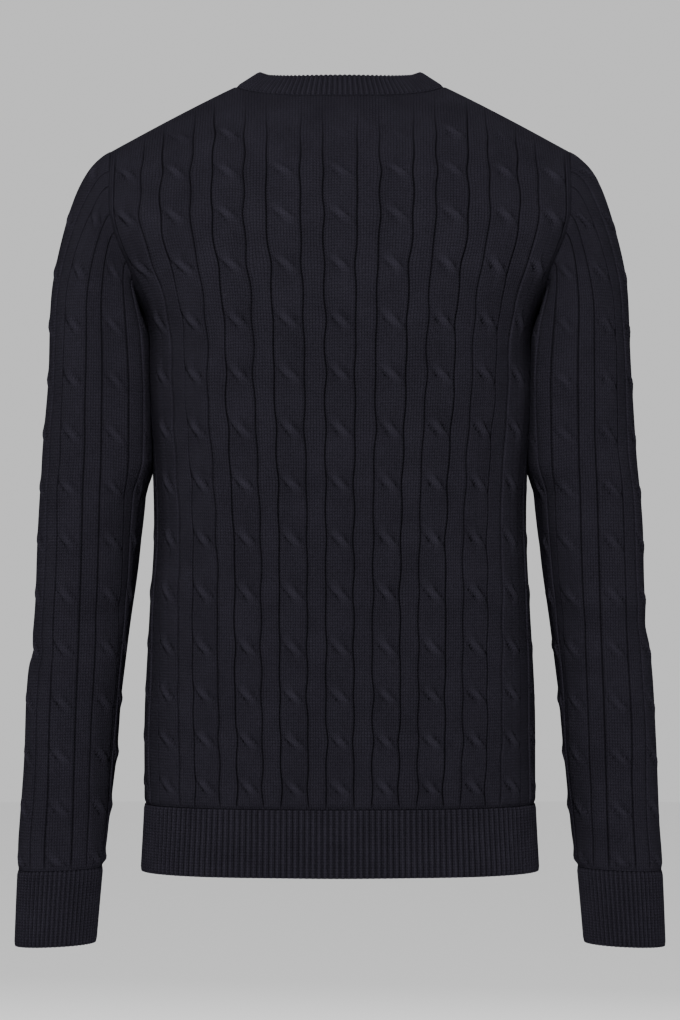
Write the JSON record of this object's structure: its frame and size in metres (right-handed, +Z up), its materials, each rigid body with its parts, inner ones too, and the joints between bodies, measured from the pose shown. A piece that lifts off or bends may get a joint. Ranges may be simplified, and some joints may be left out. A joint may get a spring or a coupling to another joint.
{
  "type": "cable knit cardigan",
  "caption": "Dark cable knit cardigan in its worn, hollow form, with set-in sleeves, a V neck, a buttoned rib front, and a rib collar, hem and cuffs.",
  "frame": {"origin": "inside the neck at the height of the back neck seam, midway between the shoulders, where the wearer's shoulders carry the garment", "axes": "+Z up along the wearer's back; +X to the wearer's left; +Y out of the wearer's back, so the buttoned front faces -Y"},
  "size_m": [0.5566, 0.2549, 0.7428],
  "materials": {
    "cable_knit": "matte, soft wool knit",
    "rib_knit": "matte, soft wool rib",
    "buttons": "soft gloss"
  },
  "bodies": {
    "root": {"back": "cable_knit", "front_left": "cable_knit", "front_right": "cable_knit", "sleeve_left": "cable_knit", "sleeve_right": "cable_knit", "hem_back": "rib_knit", "hem_front_left": "rib_knit", "hem_front_right": "rib_knit", "cuff_left": "rib_knit", "cuff_right": "rib_knit", "neckband": "rib_knit", "band_left": "rib_knit", "band_right": "rib_knit", "button_1": "buttons", "button_2": "buttons", "button_3": "buttons", "button_4": "buttons", "button_5": "buttons", "button_6": "buttons"}
  },
  "joints": []
}
